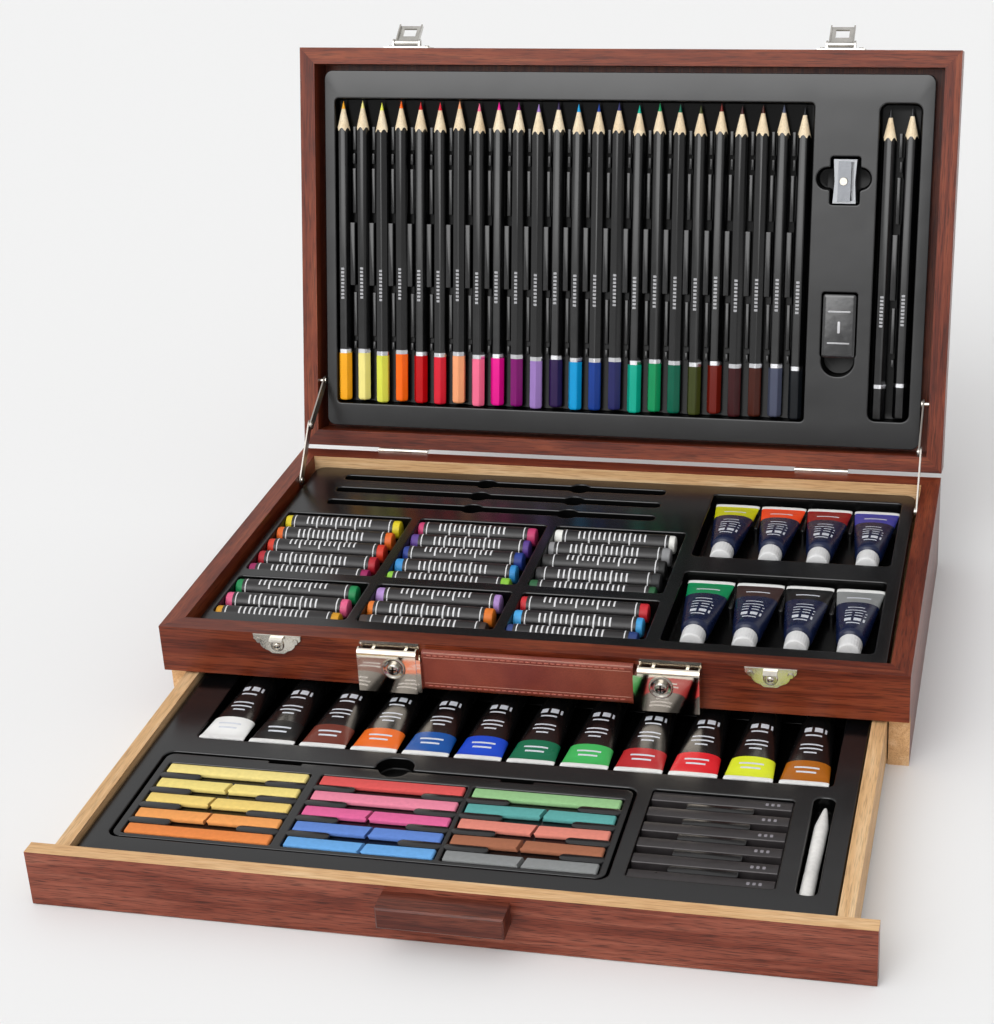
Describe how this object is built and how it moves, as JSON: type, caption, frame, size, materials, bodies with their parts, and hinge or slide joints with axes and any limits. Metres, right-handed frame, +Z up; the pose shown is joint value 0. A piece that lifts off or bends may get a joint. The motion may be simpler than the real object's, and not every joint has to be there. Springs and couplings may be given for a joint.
{
  "type": "pencil drawer box",
  "caption": "Wooden artist's case: a hinged lid of pencils over a tray of pastels and tubes, with a pull-out drawer of chalks and paints below.",
  "frame": {"origin": "on the table, under the middle of the closed case", "axes": "+X to the right, +Y to the back and +Z up, with the lid open and the drawer pulled out along -Y"},
  "size_m": [0.375, 0.4934, 0.2874],
  "materials": {
    "case_wood": "satin red-brown lacquer over wood grain",
    "bare_wood": "bare light wood",
    "board": "satin red-brown film over thin board",
    "tray_plastic": "black formed sheet, satin",
    "pastel_sleeve": "charcoal paper sleeve, coloured ends",
    "water_tube": "navy tube, coloured band at the crimp",
    "white_cap": "white moulded",
    "acrylic_tube": "black tube, coloured band at the crimp",
    "black_cap": "black moulded",
    "pencil_paint": "black lacquer, coloured dipped ends",
    "nickel": "bright nickel plate",
    "steel": "bright steel",
    "eraser_rubber": "black, in clear wrap",
    "magnesium": "milled light metal",
    "leather": "smooth red-brown",
    "chalk": "dry and matt, each row its own colour",
    "graphite": "dull grey sheen",
    "stump_paper": "rolled soft paper"
  },
  "bodies": {
    "case": {"base_side_left": "case_wood", "base_side_right": "case_wood", "base_back_panel": "case_wood", "base_fascia": "case_wood", "base_bottom_panel": "board", "divider_panel": "board", "base_tray": "tray_plastic", "oil_pastels_left": "pastel_sleeve", "oil_pastels_middle": "pastel_sleeve", "oil_pastels_right": "pastel_sleeve", "watercolour_tubes": "water_tube", "watercolour_caps": "white_cap", "catch_left": "nickel", "catch_right": "nickel", "handle_brackets": "nickel", "base_hinge_leaves": "steel", "hinge_pins": "steel", "base_stay_studs": "steel", "base_screws": "steel"},
    "lid": {"lid_back_rail": "case_wood", "lid_front_rail": "case_wood", "lid_side_left": "case_wood", "lid_side_right": "case_wood", "lid_top_panel": "board", "lid_tray": "tray_plastic", "coloured_pencils_left": "pencil_paint", "coloured_pencils_middle": "pencil_paint", "coloured_pencils_right": "pencil_paint", "sketch_pencils": "pencil_paint", "sharpener_body": "magnesium", "sharpener_blade": "steel", "eraser": "eraser_rubber", "lid_hinge_leaves": "steel", "latch_plates": "nickel", "lid_stay_studs": "steel", "lid_screws": "steel"},
    "hasp_left": {"hasp_left": "nickel"},
    "hasp_right": {"hasp_right": "nickel"},
    "stay_lower_left": {"stay_lower_left": "nickel"},
    "stay_lower_right": {"stay_lower_right": "nickel"},
    "stay_upper_left": {"stay_upper_left": "nickel"},
    "stay_upper_right": {"stay_upper_right": "nickel"},
    "handle": {"handle_covers": "nickel", "handle_grip": "leather", "handle_rivets": "nickel"},
    "drawer": {"drawer_front": "case_wood", "drawer_side_left": "bare_wood", "drawer_side_right": "bare_wood", "drawer_back": "bare_wood", "drawer_bottom": "board", "drawer_pull": "case_wood", "drawer_tray": "tray_plastic", "chalk_insert": "tray_plastic", "chalks_left": "chalk", "chalks_middle": "chalk", "chalks_right": "chalk", "acrylic_tubes": "acrylic_tube", "acrylic_caps": "black_cap", "graphite_sticks": "graphite", "blending_stump": "stump_paper"}
  },
  "joints": [
    {"name": "lid_hinge", "type": "hinge", "parent": "case", "child": "lid", "pos_m": [0, 0.1164, 0.05387], "axis": [1, 0, 0], "range_deg": [0, 104.7]},
    {"name": "drawer_slide", "type": "slide", "parent": "case", "child": "drawer", "axis": [0, 1, 0], "range_m": [-0.02, 0.1664]},
    {"name": "handle_hinge", "type": "hinge", "parent": "case", "child": "handle", "pos_m": [0.004, -0.1199, 0.0495], "axis": [-1, 0, 0], "range_deg": [0, 90]},
    {"name": "stay_lower_left_pivot", "type": "hinge", "parent": "case", "child": "stay_lower_left", "pos_m": [-0.1768, 0.077, 0.0495], "axis": [1, 0, 0], "range_deg": [0, 125]},
    {"name": "stay_upper_left_pivot", "type": "hinge", "parent": "lid", "child": "stay_upper_left", "pos_m": [-0.1768, 0.13063, 0.09087], "axis": [1, 0, 0], "range_deg": [-125, 0]},
    {"name": "stay_lower_right_pivot", "type": "hinge", "parent": "case", "child": "stay_lower_right", "pos_m": [0.1768, 0.077, 0.0495], "axis": [1, 0, 0], "range_deg": [0, 125]},
    {"name": "stay_upper_right_pivot", "type": "hinge", "parent": "lid", "child": "stay_upper_right", "pos_m": [0.1768, 0.13063, 0.09087], "axis": [1, 0, 0], "range_deg": [-125, 0]},
    {"name": "hasp_left_hinge", "type": "hinge", "parent": "lid", "child": "hasp_left", "pos_m": [-0.1245, 0.18006, 0.2793], "axis": [1, 0, 0], "range_deg": [-35, 135]},
    {"name": "hasp_right_hinge", "type": "hinge", "parent": "lid", "child": "hasp_right", "pos_m": [0.122, 0.18006, 0.2793], "axis": [1, 0, 0], "range_deg": [-35, 135]}
  ],
  "couplings": [
    {"joint": "stay_lower_left_pivot", "follows": "lid_hinge", "ratio": 1.1934},
    {"joint": "stay_upper_left_pivot", "follows": "lid_hinge", "ratio": -1.1934},
    {"joint": "stay_lower_right_pivot", "follows": "lid_hinge", "ratio": 1.1934},
    {"joint": "stay_upper_right_pivot", "follows": "lid_hinge", "ratio": -1.1934}
  ]
}
